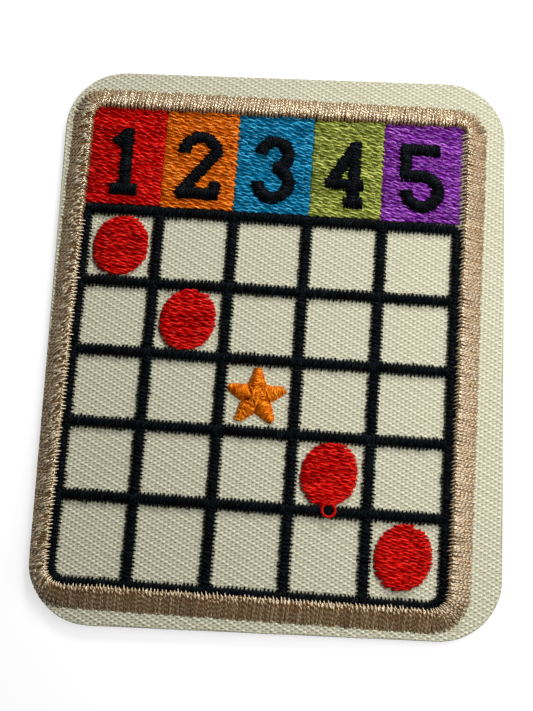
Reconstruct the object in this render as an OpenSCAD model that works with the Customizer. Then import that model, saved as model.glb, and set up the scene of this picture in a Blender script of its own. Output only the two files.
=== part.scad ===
// An embroidered iron-on patch made as a small game card. A cut twill sheet carries a raised
// satin border, five coloured header blocks with numerals, a five by five grid of satin lines,
// four round markers on the diagonal and a star on the middle space.
// The sheet lies in X and Y with its header towards +Y, and its back face is at zero height.
// The embroidery has its own frame, centred on the border, which sits a little off the sheet.

/* [Sheet] */
// Bare cloth between the border and the cut edge, on each long side
side_margin = 1.45; // [1:0.05:6]
// Bare cloth between the border and the cut edge, at each end
end_margin = 2.025; // [1:0.025:6]
// Radius of the cut corners
sheet_r = 6.85; // [3:0.05:9]
// Thickness of the iron-on film on the back
film_t = 0.2; // [0.16:0.01:0.4]
// Thickness of the backing under the cloth
backing_t = 0.3; // [0.15:0.01:0.6]
// Thickness of the twill cloth
twill_t = 0.45; // [0.2:0.01:0.8]

/* [Registration] */
// How far the stitching lies to the right of the middle of the sheet
stitch_shift_x = -1.28; // [-1.6:0.01:1.6]
// How far the stitching lies above the middle of the sheet
stitch_shift_y = -0.75; // [-1.6:0.01:1.6]
// Angle by which the stitching is turned on the sheet, anticlockwise
stitch_turn = -1.44; // [-2:0.01:2]

/* [Border] */
// Width of the satin border
border_w = 2.4; // [1.8:0.05:3.5]
// Height of the border above the cloth
border_rise = 1; // [0.6:0.05:1.5]
// Inner corner radius of the border round the header
border_head_r = 1; // [0.5:0.1:2]
// Inner corner radius of the border round the foot of the grid
border_foot_r = 1.8; // [0.5:0.1:3]
// Width of the padding stitches inside the border
underlay_w = 1.2; // [0.6:0.05:1.6]
// Height of the padding stitches inside the border
underlay_t = 0.35; // [0.2:0.01:0.5]

/* [Grid] */
// Distance across one space of the grid, from line to line
space = 8.4; // [7.5:0.1:10]
// Width of a satin line
line_w = 1.3; // [0.9:0.05:1.8]
// Height of an upright line above the cloth
column_rise = 0.5; // [0.35:0.01:0.6]
// How much higher a cross line stands, as it runs over the uprights
overpass = 0.12; // [0.08:0.01:0.2]
// Inner corner radius of the frame at its foot
frame_foot_r = 0.8; // [0.4:0.1:1.4]
// Distance from the left line of the frame to the border
left_inset = 0.35; // [0.3:0.01:0.65]
// Distance from the right line of the frame to the border
right_inset = 0.75; // [0.4:0.01:1.2]
// Distance from the bottom line of the frame to the border
foot_inset = 0.5; // [0.3:0.01:0.9]

/* [Header] */
// Distance from the top line of the frame to the border
header_l = 12.15; // [11:0.05:15]
// Thickness of the fill stitching of a block
fill_t = 0.45; // [0.3:0.01:0.7]
// Bare cloth between the last block and the border
header_gap = 0.33; // [0:0.01:0.8]
// Height of a numeral
numeral_h = 8.2; // [7:0.1:9]
// Width of a numeral
numeral_w = 5.2; // [4.4:0.1:6]
// Width of the satin stroke of a numeral
stroke_w = 1.4; // [0.9:0.05:1.5]
// Height of the stroke above its block
stroke_rise = 0.4; // [0.3:0.01:0.6]
// How far the numerals lie below the middle of the header
numeral_drop = 0.6; // [0:0.05:0.8]

/* [Markers] */
// Width of a round marker
marker_w = 6.1; // [4:0.1:6.5]
// Length of a round marker
marker_l = 7; // [4:0.1:7.2]
// Height of a marker's rim above the cloth
marker_rim = 0.4; // [0.3:0.01:0.6]
// Extra height of a marker at its middle
marker_crown = 0.2; // [0.1:0.01:0.4]

/* [Star] */
// Radius of the star to its points
star_r = 3.45; // [2.5:0.05:3.6]
// Radius of the star to the notches between its arms
star_notch_r = 1.5; // [1.1:0.05:1.8]
// Height of the star's rim above the cloth
star_rim = 0.3; // [0.2:0.01:0.5]
// Extra height of the star at its middle
star_crown = 0.45; // [0.2:0.01:0.7]

/* [Loose loop] */
// Width of the loose loop of thread
loop_w = 1.5; // [1:0.05:2]
// Thickness of a thread
thread_t = 0.3; // [0.2:0.01:0.4]

/* [Hidden] */
$fn = 64;

// Where the lines fall across and down the grid, as stitched
column_shares = [0.1982, 0.3998, 0.599, 0.8014];
row_shares = [0.2016, 0.393, 0.587, 0.7806];
// Where one header block ends and the next starts
block_shares = [0, 0.1997, 0.3961, 0.5992, 0.7888, 1];
// Middles of the markers and of the star, across and down the grid
marker_shares = [[0.099, 0.1015], [0.297, 0.2965], [0.698, 0.6845], [0.899, 0.8845]];
star_shares = [0.495, 0.491];
// Middle of the loose loop, across and down the grid
loop_shares = [0.702, 0.7775];
// Bobbin thread shows on a third of a column's width, half way into the film
bobbin_width_share = 0.34;
bobbin_depth_share = 0.5;
// Radius of the frame's nearly square head corners, as a share of a line's width
frame_head_share = 0.55;

// Heights of the layers
bobbin_t = film_t * bobbin_depth_share;
backing_z = film_t;
twill_z = backing_z + backing_t;
cloth_z = twill_z + twill_t;
fill_z = cloth_z + fill_t;
row_rise = column_rise + overpass;
frame_rise = row_rise;

// Sizes of the grid, the opening of the border and the sheet
spaces = 5;
grid = spaces * space;
opening_w = left_inset + grid + right_inset;
opening_l = header_l + grid + foot_inset;
sheet_w = opening_w + 2 * border_w + 2 * side_margin;
sheet_l = opening_l + 2 * border_w + 2 * end_margin;
// Upper left crossing of the grid, in the embroidery's frame
grid_left = left_inset - opening_w / 2;
grid_top = opening_l / 2 - header_l;
// The header lies between the frame's top line and the border
header_left = -opening_w / 2;
header_w = opening_w - header_gap;
header_foot = grid_top + line_w / 2;
header_top = opening_l / 2;
numeral_y = (header_foot + header_top) / 2 - numeral_drop;
// One overrun for every cut
overrun = border_rise;

function grid_point(share) = [grid_left + share.x * grid, grid_top - share.y * grid];
function block_edge(i) = header_left + block_shares[i] * header_w;
// Radius of a dome that is w wide and stands h high
function dome_radius(w, h) = (w * w / 4 + h * h) / (2 * h);

// Places what is drawn in the embroidery's frame on the sheet
module registered() {
    translate([stitch_shift_x, stitch_shift_y]) rotate(stitch_turn) children();
}

// A rectangle centred on the origin with a radius for the two head and the two foot corners
module rounded_rectangle(w, l, head_r, foot_r) {
    union() {
        translate([-w / 2, -l / 2 + foot_r]) square([w, l - head_r - foot_r]);
        translate([-w / 2 + head_r, l / 2 - head_r]) square([w - 2 * head_r, head_r]);
        translate([-w / 2 + foot_r, -l / 2]) square([w - 2 * foot_r, foot_r]);
        for (side = [-1, 1]) {
            translate([side * (w / 2 - head_r), l / 2 - head_r]) circle(head_r);
            translate([side * (w / 2 - foot_r), foot_r - l / 2]) circle(foot_r);
        }
    }
}

// The outline of the cut sheet, h thick, on height z
module sheet(z, h) {
    translate([0, 0, z]) linear_extrude(h) rounded_rectangle(sheet_w, sheet_l, sheet_r, sheet_r);
}

// Cross-section of a satin column: a low dome
module dome(w, h) {
    r = dome_radius(w, h);
    intersection() {
        translate([0, h - r]) circle(r);
        translate([-w / 2, 0]) square([w, h]);
    }
}

// Carries a cross-section in a straight line from one point to another
module run(from, to) {
    way = to - from;
    translate(from) rotate([90, 0, 90 + atan2(way.y, way.x)]) linear_extrude(norm(way)) children();
}

// Carries a cross-section round an arc about a centre
module arc(centre, r, start, sweep) {
    translate(centre) rotate(start) rotate_extrude(angle = sweep) translate([r, 0]) children();
}

// Carries a cross-section round a rectangle of w by l with rounded corners
module ring(w, l, head_r, foot_r) {
    head_x = w / 2 - head_r;
    foot_x = w / 2 - foot_r;
    head_y = l / 2 - head_r;
    foot_y = foot_r - l / 2;
    run([head_x, l / 2], [-head_x, l / 2]) children();
    arc([-head_x, head_y], head_r, 90, 90) children();
    run([-w / 2, head_y], [-w / 2, foot_y]) children();
    arc([-foot_x, foot_y], foot_r, 180, 90) children();
    run([-foot_x, -l / 2], [foot_x, -l / 2]) children();
    arc([foot_x, foot_y], foot_r, 270, 90) children();
    run([w / 2, foot_y], [w / 2, head_y]) children();
    arc([head_x, head_y], head_r, 0, 90) children();
}

// Follows the middle of the border
module border_path() {
    ring(
        opening_w + border_w, opening_l + border_w,
        border_head_r + border_w / 2, border_foot_r + border_w / 2
    ) children();
}

// Follows the frame of the grid
module frame_path() {
    centre = grid_point([0.5, 0.5]);
    translate(centre)
        ring(grid, grid, line_w * frame_head_share, frame_foot_r + line_w / 2) children();
}

// Follows one upright line of the grid
module column_path(i) {
    run(grid_point([column_shares[i], 0]), grid_point([column_shares[i], 1])) children();
}

// Follows one cross line of the grid
module row_path(i) {
    run(grid_point([0, row_shares[i]]), grid_point([1, row_shares[i]])) children();
}

// Flat thread on the back of a satin column, w wide
module bobbin_band(w) {
    translate([-w / 2, 0]) square([w, bobbin_t]);
}

// All the flat thread on the back, which the film takes in
module bobbin_bands() {
    border_band_w = border_w * bobbin_width_share;
    line_band_w = line_w * bobbin_width_share;
    header_inset = line_w / 2;
    registered() translate([0, 0, film_t - bobbin_t]) {
        border_path() bobbin_band(border_band_w);
        frame_path() bobbin_band(line_band_w);
        for (i = [0:len(column_shares) - 1]) {
            column_path(i) bobbin_band(line_band_w);
            row_path(i) bobbin_band(line_band_w);
        }
        translate([header_left + header_inset, header_foot + header_inset])
            cube([header_w - 2 * header_inset, header_top - header_foot - 2 * header_inset, bobbin_t]);
        for (share = marker_shares) {
            translate(grid_point(share)) cylinder(h = bobbin_t, r = marker_w / 2 - header_inset);
        }
        translate(grid_point(star_shares)) cylinder(h = bobbin_t, r = star_notch_r);
    }
}

module heat_seal_film() {
    color("whitesmoke") difference() {
        sheet(0, film_t);
        bobbin_bands();
    }
}

module bobbin_thread() {
    color("white") bobbin_bands();
}

module stabiliser() {
    color("gainsboro") sheet(backing_z, backing_t);
}

module twill_ground() {
    color([0.82, 0.8, 0.7]) sheet(twill_z, twill_t);
}

// The padding stitches that lift the middle of the border
module border_underlay() {
    color([0.62, 0.52, 0.38]) registered() translate([0, 0, cloth_z]) border_path()
        translate([-underlay_w / 2, 0]) square([underlay_w, underlay_t]);
}

// The border is domed over its padding, and the cut of the sheet has trimmed its lower left side
module border_satin() {
    color([0.76, 0.67, 0.52]) intersection() {
        registered() translate([0, 0, cloth_z]) border_path() difference() {
            dome(border_w, border_rise);
            translate([-underlay_w / 2, -overrun]) square([underlay_w, underlay_t + overrun]);
        }
        sheet(cloth_z - overrun, border_rise + 2 * overrun);
    }
}

// One block of fill stitching. The outer blocks follow the border's corners
module header_block(i) {
    left = block_edge(i);
    right = block_edge(i + 1);
    left_r = i == 0 ? border_head_r : 0;
    right_r = i == len(block_shares) - 2 ? border_head_r : 0;
    registered() translate([0, 0, cloth_z]) linear_extrude(fill_t) union() {
        translate([left, header_foot])
            square([right - left, header_top - header_foot - border_head_r]);
        translate([left + left_r, header_top - border_head_r])
            square([right - left - left_r - right_r, border_head_r]);
        if (left_r > 0) translate([left + left_r, header_top - left_r]) circle(left_r);
        if (right_r > 0) translate([right - right_r, header_top - right_r]) circle(right_r);
    }
}

module header_fill_red() {
    color([0.75, 0.06, 0.05]) header_block(0);
}

module header_fill_orange() {
    color([0.93, 0.45, 0.08]) header_block(1);
}

module header_fill_blue() {
    color([0.1, 0.5, 0.75]) header_block(2);
}

module header_fill_green() {
    color([0.45, 0.52, 0.2]) header_block(3);
}

module header_fill_purple() {
    color([0.45, 0.18, 0.62]) header_block(4);
}

// A numeral's strokes run down the middle of a pen box, whose corner is the origin
pen_w = numeral_w - stroke_w;
pen_l = numeral_h - stroke_w;

// Puts a numeral that is w wide between pen lines on the middle of header block i
module on_block(i, w) {
    middle = (block_edge(i) + block_edge(i + 1)) / 2;
    registered() translate([middle - w / 2, numeral_y - pen_l / 2, fill_z]) children();
}

// A straight piece of stroke, cut square at its ends
module stroke(from, to) {
    run(from, to) dome(stroke_w, stroke_rise);
}

// A curved piece of stroke, cut square at its ends
module bowl(centre, r, start, sweep) {
    arc(centre, r, start, sweep) dome(stroke_w, stroke_rise);
}

// Rounds each corner where two strokes meet
module corners(places) {
    for (at = places) translate(at) rotate_extrude() intersection() {
        dome(stroke_w, stroke_rise);
        square([stroke_w, stroke_rise]);
    }
}

module numeral_one() {
    foot_share = 0.7;
    flag_share = 0.8;
    w = pen_w * foot_share;
    head = [w / 2, pen_l];
    color("black") on_block(0, w) {
        stroke([w / 2, 0], head);
        stroke([0, 0], [w, 0]);
        stroke([0, pen_l * flag_share], head);
        corners([head]);
    }
}

module numeral_two() {
    serif_share = 0.2;
    r = pen_w / 2;
    knee = [pen_w, pen_l - r];
    color("black") on_block(1, pen_w) {
        bowl(knee - [r, 0], r, 0, 180);
        stroke([0, 0], knee);
        stroke([0, 0], [pen_w, 0]);
        stroke([pen_w, 0], [pen_w, pen_l * serif_share]);
        corners([knee, [0, 0], [pen_w, 0]]);
    }
}

// The two bowls of the three meet at its waist
module numeral_three() {
    lower_share = 0.53;
    lower_r = pen_l / 2 * lower_share;
    upper_r = pen_l / 2 - lower_r;
    waist = [pen_w / 2, 2 * lower_r];
    color("black") on_block(2, pen_w) {
        bowl(waist + [0, upper_r], upper_r, -90, 270);
        bowl(waist - [0, lower_r], lower_r, -180, 270);
        corners([waist]);
    }
}

module numeral_four() {
    stem_share = 0.72;
    bar_share = 0.32;
    foot_share = 0.28;
    foot = pen_w * foot_share;
    base = [pen_w * stem_share, 0];
    head = [base.x, pen_l];
    elbow = [0, pen_l * bar_share];
    color("black") on_block(3, pen_w) {
        stroke(base, head);
        stroke(elbow, head);
        stroke(elbow, [pen_w, elbow.y]);
        stroke(base - [foot, 0], base + [foot, 0]);
        corners([head, elbow]);
    }
}

module numeral_five() {
    bowl_share = 0.27;
    r = pen_l * bowl_share;
    centre = [pen_w - r, r];
    elbow = [0, 2 * r];
    shoulder = [0, pen_l];
    color("black") on_block(4, pen_w) {
        bowl(centre, r, -180, 270);
        stroke(elbow, [centre.x, elbow.y]);
        stroke(elbow, shoulder);
        stroke(shoulder, [pen_w, pen_l]);
        corners([elbow, shoulder]);
    }
}

// The frame of the grid stands against the border, which laps over its outer edge
module grid_frame() {
    color("black") difference() {
        registered() translate([0, 0, cloth_z]) frame_path() dome(line_w, frame_rise);
        registered() translate([0, 0, cloth_z]) border_path() dome(border_w, border_rise);
    }
}

// An upright line runs from the top of the frame to its foot
module grid_column(i) {
    color("black") registered() translate([0, 0, cloth_z]) difference() {
        column_path(i) dome(line_w, column_rise);
        frame_path() dome(line_w, frame_rise);
    }
}

// A cross line runs over the uprights between the two sides of the frame
module grid_row(i) {
    color("black") registered() translate([0, 0, cloth_z]) difference() {
        row_path(i) dome(line_w, row_rise);
        frame_path() dome(line_w, frame_rise);
        for (j = [0:len(column_shares) - 1]) column_path(j) dome(line_w, column_rise);
    }
}

module grid_column_1() { grid_column(0); }
module grid_column_2() { grid_column(1); }
module grid_column_3() { grid_column(2); }
module grid_column_4() { grid_column(3); }
module grid_row_1() { grid_row(0); }
module grid_row_2() { grid_row(1); }
module grid_row_3() { grid_row(2); }
module grid_row_4() { grid_row(3); }

// A round marker of fill stitching, crowned at its middle, which meets the lines of its space.
// Its rim has one flat for each stitch that ends there
module marker_dot(i) {
    crown_r = dome_radius(marker_l, marker_crown);
    top = marker_rim + marker_crown;
    flats = 60;
    rim = [for (k = [0:flats - 1]) let (a = k * 360 / flats) [marker_w * cos(a), marker_l * sin(a)] / 2];
    color([0.82, 0.08, 0.06]) registered() translate([0, 0, cloth_z]) difference() {
        translate(grid_point(marker_shares[i])) intersection() {
            linear_extrude(top) polygon(rim);
            translate([0, 0, top - crown_r]) sphere(crown_r, $fn = 360);
        }
        frame_path() dome(line_w, frame_rise);
        for (j = [0:len(row_shares) - 1]) row_path(j) dome(line_w, row_rise);
    }
}

module marker_dot_1() { marker_dot(0); }
module marker_dot_2() { marker_dot(1); }
module marker_dot_3() { marker_dot(2); }
module marker_dot_4() { marker_dot(3); }

// A star whose five arms rise in ridges to its middle
module free_space_star() {
    points = 5;
    corners = 2 * points;
    step = 360 / corners;
    radii = [star_r, star_notch_r];
    outline = [for (i = [0:corners - 1]) radii[i % 2] * [cos(90 + i * step), sin(90 + i * step)]];
    low = [for (p = outline) [p.x, p.y, 0]];
    high = [for (p = outline) [p.x, p.y, star_rim]];
    middles = [[0, 0, 0], [0, 0, star_rim + star_crown]];
    faces = [for (i = [0:corners - 1]) let (k = (i + 1) % corners) each [
        [2 * corners, i, k],
        [i, corners + i, corners + k],
        [i, corners + k, k],
        [2 * corners + 1, corners + k, corners + i]
    ]];
    color([0.93, 0.45, 0.08]) registered() translate([0, 0, cloth_z])
        translate(grid_point(star_shares)) polyhedron(concat(low, high, middles), faces);
}

// A loose loop of marker thread lies on the crown of the lowest cross line
module thread_loop() {
    color([0.82, 0.08, 0.06]) registered() translate([0, 0, cloth_z + row_rise + thread_t / 2])
        translate(grid_point(loop_shares)) rotate_extrude()
            translate([(loop_w - thread_t) / 2, 0]) circle(thread_t / 2);
}

heat_seal_film();
bobbin_thread();
stabiliser();
twill_ground();
border_underlay();
border_satin();
header_fill_red();
header_fill_orange();
header_fill_blue();
header_fill_green();
header_fill_purple();
numeral_one();
numeral_two();
numeral_three();
numeral_four();
numeral_five();
grid_frame();
grid_column_1();
grid_column_2();
grid_column_3();
grid_column_4();
grid_row_1();
grid_row_2();
grid_row_3();
grid_row_4();
marker_dot_1();
marker_dot_2();
marker_dot_3();
marker_dot_4();
free_space_star();
thread_loop();
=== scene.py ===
import math

import bmesh
import bpy
import numpy as np
from mathutils import Matrix, Vector


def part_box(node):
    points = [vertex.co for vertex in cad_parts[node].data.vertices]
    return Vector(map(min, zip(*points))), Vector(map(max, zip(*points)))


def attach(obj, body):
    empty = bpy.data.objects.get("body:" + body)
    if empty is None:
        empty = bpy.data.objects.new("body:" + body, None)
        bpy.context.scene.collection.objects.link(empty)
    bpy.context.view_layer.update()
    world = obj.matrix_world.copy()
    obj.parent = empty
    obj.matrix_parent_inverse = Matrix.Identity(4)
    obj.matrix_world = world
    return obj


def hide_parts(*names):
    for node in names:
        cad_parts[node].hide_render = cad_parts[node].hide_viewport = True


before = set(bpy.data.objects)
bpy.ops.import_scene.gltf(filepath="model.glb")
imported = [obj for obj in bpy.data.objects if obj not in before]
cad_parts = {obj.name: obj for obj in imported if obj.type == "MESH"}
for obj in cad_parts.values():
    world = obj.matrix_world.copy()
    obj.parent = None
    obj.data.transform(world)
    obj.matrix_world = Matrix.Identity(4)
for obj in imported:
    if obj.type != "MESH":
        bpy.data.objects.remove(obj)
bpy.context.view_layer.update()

# The twill ground
# The patch is cut from cream cotton twill. Each warp yarn floats over three picks and dips under
# the fourth, and each float starts one pick further along than the one above it.
mm = 0.001
cloth_low, cloth_high = (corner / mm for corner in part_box("twill_ground"))
cloth_z = cloth_high.z
sheet_half = (cloth_high - cloth_low).xy / 2
sheet_r, sheet_rim = 6.85, 0.05
stitch_shift = Vector((-1.28, -0.75))
stitch_turn = math.radians(-1.44)
end_pitch = 0.2352
pick = 0.438
float_picks = 3
repeat_picks = float_picks + 1
crest_l = 0.68
slant = 0.03
crest_pitch = 2 * pick
yarn_w, yarn_t = 0.31, 0.17
float_rise = 0.025
yarn_sink = 0.2
weft_drop = 0.05
plies = 2
cream, cream_shade = (211, 210, 186), (184, 181, 159)
weft_cream, weft_shade = (190, 187, 163), (170, 166, 141)
rng = np.random.default_rng(seed=11)


def dyed(*colour):
    """A colour of 0 to 255 a channel, as light."""
    return tuple((c / 255 / 12.92 if c < 10 else ((c / 255 + 0.055) / 1.055) ** 2.4) for c in colour)


class Value:
    """A number in a graph. Sums and products of values add their own Math nodes."""

    def __init__(self, graph, socket):
        self.graph, self.socket = graph, socket

    def math(self, operation, *others):
        sockets = dict(enumerate((self, *others)))
        return self.graph.node("ShaderNodeMath", {"operation": operation}, sockets)

    def __add__(self, other):
        return self.math("ADD", other)

    def __sub__(self, other):
        return self.math("SUBTRACT", other)

    def __mul__(self, other):
        return self.math("MULTIPLY", other)

    def __pow__(self, other):
        return self.math("POWER", other)

    def __rsub__(self, other):
        return self * -1 + other

    __radd__ = __add__
    __rmul__ = __mul__


class Graph:
    """The nodes of a material or of a shape."""

    def __init__(self, tree):
        self.tree = tree

    def node(self, kind, settings=(), sockets=(), output=0):
        made = self.tree.nodes.new(kind)
        for name, value in dict(settings).items():
            setattr(made, name, value)
        self.feed(made, sockets)
        return Value(self, made.outputs[output])

    def feed(self, node, sockets):
        for name, value in dict(sockets).items():
            socket = node.inputs[name]
            if isinstance(value, Value):
                self.tree.links.new(value.socket, socket)
            elif socket.type == "RGBA":
                socket.default_value = (*value, 1)
            else:
                socket.default_value = value

    def blend(self, share, low, high):
        sockets = {0: share, 6: low, 7: high}
        return self.node("ShaderNodeMix", {"data_type": "RGBA"}, sockets, 2)

    def split(self, vector):
        made = self.tree.nodes.new("ShaderNodeSeparateXYZ")
        self.feed(made, {0: vector})
        return [Value(self, output) for output in made.outputs]

    def noise(self, vector, scale, detail=2.0, roughness=0.5):
        sockets = {"Vector": vector, "Scale": scale, "Detail": detail, "Roughness": roughness}
        return self.node("ShaderNodeTexNoise", (), sockets)

    def smooth(self, value, low, high):
        sockets = {"Value": value, "From Min": low, "From Max": high}
        return self.node("ShaderNodeMapRange", {"interpolation_type": "SMOOTHSTEP"}, sockets)


class Finish(Graph):
    """A material with one principled surface."""

    def __init__(self, name):
        self.material = bpy.data.materials.new(name)
        self.material.use_nodes = True
        super().__init__(self.material.node_tree)
        self.shader = self.tree.nodes["Principled BSDF"]
        self.place = self.node("ShaderNodeTexCoord", (), (), "Object")

    def marks(self, *names):
        """Values that the stitches carry along their thread."""
        return [self.node("ShaderNodeAttribute", {"attribute_name": name}, (), "Fac")
                for name in names]

    def bump(self, height, distance, strength=1.0):
        sockets = {"Height": height, "Distance": distance, "Strength": strength}
        return self.node("ShaderNodeBump", (), sockets)

    def surface(self, sockets):
        self.feed(self.shader, sockets)
        return self.material


def on_sheet(points):
    """Points of the embroidery's frame, in millimetres, placed on the sheet."""
    points = np.asarray(points, float)
    c, s = math.cos(stitch_turn), math.sin(stitch_turn)
    x = c * points[..., 0] - s * points[..., 1] + stitch_shift.x
    y = s * points[..., 0] + c * points[..., 1] + stitch_shift.y
    return np.stack([x, y, points[..., 2]], -1)


def past_cut(points):
    """How far points on the sheet lie outside its cut edge."""
    corner = np.abs(points[..., :2]) - (np.array(sheet_half) - sheet_r)
    outside = np.linalg.norm(np.maximum(corner, 0), axis=-1)
    return outside + np.minimum(corner.max(-1), 0) - sheet_r


def loop_mesh(name, loops):
    """A closed mesh through loops of points in millimetres, from the lowest to the highest."""
    count = len(loops[0])
    points = [Vector(p) * mm for loop in loops for p in loop]
    faces = [tuple(reversed(range(count)))]
    for low in range(0, len(points) - count, count):
        for i in range(count):
            j = (i + 1) % count
            faces.append((low + i, low + j, low + count + j, low + count + i))
    faces.append(tuple(range(len(points) - count, len(points))))
    mesh = bpy.data.meshes.new(name)
    mesh.from_pydata(points, [], faces)
    mesh.validate()
    return mesh


def sheet_mesh(name, low, high):
    """The cut sheet between two heights, with its rim a little rounded."""
    arc = np.radians(np.linspace(0, 90, 15))
    loops = []
    for z, inset in ((low, sheet_rim), (low + sheet_rim, 0), (high - sheet_rim, 0),
                     (high, sheet_rim)):
        loop = []
        for corner, (sx, sy) in enumerate(((1, 1), (-1, 1), (-1, -1), (1, -1))):
            for a in arc + math.radians(90 * corner):
                x = sx * (sheet_half.x - sheet_r) + (sheet_r - inset) * math.cos(a)
                y = sy * (sheet_half.y - sheet_r) + (sheet_r - inset) * math.sin(a)
                loop.append((x, y, z))
        loops.append(loop)
    return loop_mesh(name, loops)


def placed(name, data):
    """A new object in the scene."""
    made = bpy.data.objects.new(name, data)
    bpy.context.scene.collection.objects.link(made)
    return made


def piece(name, mesh, material, slot, *nodes):
    """Puts a finished mesh on the patch, in the place of its solids."""
    mesh.materials.clear()
    mesh.materials.append(material)
    made = placed(name, mesh)
    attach(made, "root")
    if nodes:
        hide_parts(*nodes)
    return made


def thread_shape():
    """Turns the edges between needle holes into arched lengths of thread."""
    tremble_scale, taper_power, ply_start = 900.0, 6.0, 0.01
    tree = bpy.data.node_groups.new("thread", "GeometryNodeTree")
    wanted = {
        "Geometry": ("Stitches",),
        "Float": ("Width", "Thickness", "Groove", "Squareness", "Lean", "Tremble", "Twist", "Roll",
                  "Inner Taper", "Outer Taper"),
        "Int": ("Sides", "Steps", "Plies"),
        "Material": ("Finish",),
    }
    for kind, names in wanted.items():
        for name in names:
            tree.interface.new_socket(name, in_out="INPUT", socket_type=f"NodeSocket{kind}")
    tree.interface.new_socket("Thread", in_out="OUTPUT", socket_type="NodeSocketGeometry")
    g = Graph(tree)
    inputs = tree.nodes.new("NodeGroupInput")
    given = {socket.name: Value(g, socket) for socket in inputs.outputs if socket.name}

    def own(name):
        return g.node("GeometryNodeInputNamedAttribute", (), {"Name": name})

    def kept(geometry, name, value):
        sockets = {"Geometry": geometry, "Name": name, "Value": value}
        return g.node("GeometryNodeStoreNamedAttribute", (), sockets)

    curve = g.node("GeometryNodeMeshToCurve", (), {"Mesh": given["Stitches"]})
    curve = g.node("GeometryNodeResampleCurve", {"mode": "COUNT"},
                   {"Curve": curve, "Count": given["Steps"]})
    across = (own("arc") ** given["Lean"] * 2 - 1).math("ABSOLUTE")
    lift = own("rise") * (1 - across ** given["Squareness"])
    spot = g.node("GeometryNodeInputPosition")
    sockets = {"Vector": spot, "Scale": tremble_scale, "Detail": 1.0}
    shake = g.node("ShaderNodeTexNoise", (), sockets, 1)
    x, y, z = ((side - 0.5) * given["Tremble"] for side in g.split(shake))
    offset = g.node("ShaderNodeCombineXYZ", (), {0: x, 1: y, 2: z + lift})
    curve = g.node("GeometryNodeSetPosition", (), {"Geometry": curve, "Offset": offset})
    curve = g.node("GeometryNodeSetCurveNormal", {"mode": "Z_UP"}, {"Curve": curve})
    length = g.node("GeometryNodeSplineParameter", (), (), "Length")
    curve = kept(curve, "along", length)
    wound = (length + own("tone") * ply_start) * given["Twist"]
    wound = wound + (own("tone") - 0.5) * given["Roll"]
    curve = g.node("GeometryNodeSetCurveTilt", (), {"Curve": curve, "Tilt": wound})
    inner = (1 - own("arc")) ** taper_power
    outer = own("arc") ** taper_power
    drawn_in = 1 - inner * given["Inner Taper"] - outer * given["Outer Taper"]
    ring = g.node("GeometryNodeCurvePrimitiveCircle", (),
                  {"Resolution": given["Sides"], "Radius": 0.5})
    turn = g.node("GeometryNodeSplineParameter", (), (), "Factor")
    ring = kept(ring, "turn", turn)
    drawn = 1 - (turn * given["Plies"] * math.pi).math("SINE") ** 2.0 * given["Groove"]
    lobes = g.node("ShaderNodeVectorMath", {"operation": "SCALE"},
                   {0: g.node("GeometryNodeInputPosition"), "Scale": drawn})
    ring = g.node("GeometryNodeSetPosition", (), {"Geometry": ring, "Position": lobes})
    scale = g.node("ShaderNodeCombineXYZ", (), {0: given["Width"], 1: given["Thickness"], 2: 1})
    ring = g.node("GeometryNodeTransform", (), {"Geometry": ring, "Scale": scale})
    body = g.node("GeometryNodeCurveToMesh", (),
                  {"Curve": curve, "Profile Curve": ring, "Scale": drawn_in, "Fill Caps": True})
    body = g.node("GeometryNodeSetShadeSmooth", (), {"Geometry": body})
    body = g.node("GeometryNodeRealizeInstances", (), {"Geometry": body})
    body = g.node("GeometryNodeSetMaterial", (), {"Geometry": body, "Material": given["Finish"]})
    output = tree.nodes.new("NodeGroupOutput")
    g.feed(output, {"Thread": body})
    return tree


thread_tree = thread_shape()
thread_inputs = {item.name: item.identifier for item in thread_tree.interface.items_tree}


def joined(name, *meshes):
    """One mesh from several."""
    together = bmesh.new()
    for mesh in meshes:
        together.from_mesh(mesh)
        bpy.data.meshes.remove(mesh)
    result = bpy.data.meshes.new(name)
    together.to_mesh(result)
    together.free()
    return result


def sewn(name, layers, material):
    """One mesh from layers of stitches. A layer is its stitches and the sizes of its thread.
    Stitches are an array of points, of shape stitches by points by 3, with the rise of each
    stitch, and the share of its arch at which each end lies."""
    lengths = []
    for stitches, sizes in layers:
        points, rise, arcs = stitches["points"], stitches["rise"], stitches["arcs"]
        count, per = points.shape[:2]
        mixed = rng.random(count)
        tone = np.repeat(stitches.get("tone", mixed), per)
        shares = np.linspace(0, 1, per)
        arc = arcs[:, :1] + (arcs[:, 1:] - arcs[:, :1]) * shares
        start = np.arange(count * per).reshape(count, per)
        edges = np.stack([start[:, :-1].ravel(), start[:, 1:].ravel()], 1)
        mesh = bpy.data.meshes.new(name)
        mesh.from_pydata(on_sheet(points).reshape(-1, 3) * mm, edges.tolist(), [])
        marks = {"arc": arc.ravel(), "tone": tone, "rise": np.repeat(rise, per) * mm}
        for key, values in marks.items():
            mesh.attributes.new(key, "FLOAT", "POINT").data.foreach_set("value", values)
        carrier = placed(name, mesh)
        shape = carrier.modifiers.new("thread", "NODES")
        shape.node_group = thread_tree
        for key, value in sizes.items():
            shape[thread_inputs[key]] = value
        shape[thread_inputs["Finish"]] = material
        evaluated = carrier.evaluated_get(bpy.context.evaluated_depsgraph_get())
        lengths.append(bpy.data.meshes.new_from_object(evaluated))
        bpy.data.objects.remove(carrier)
        bpy.data.meshes.remove(mesh)
    return joined(name, *lengths)


def stitched(name, layers, material, slot, *nodes):
    """Puts layers of stitches on the patch as one piece."""
    return piece(name, sewn(name, layers, material), material, slot, *nodes)


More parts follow.
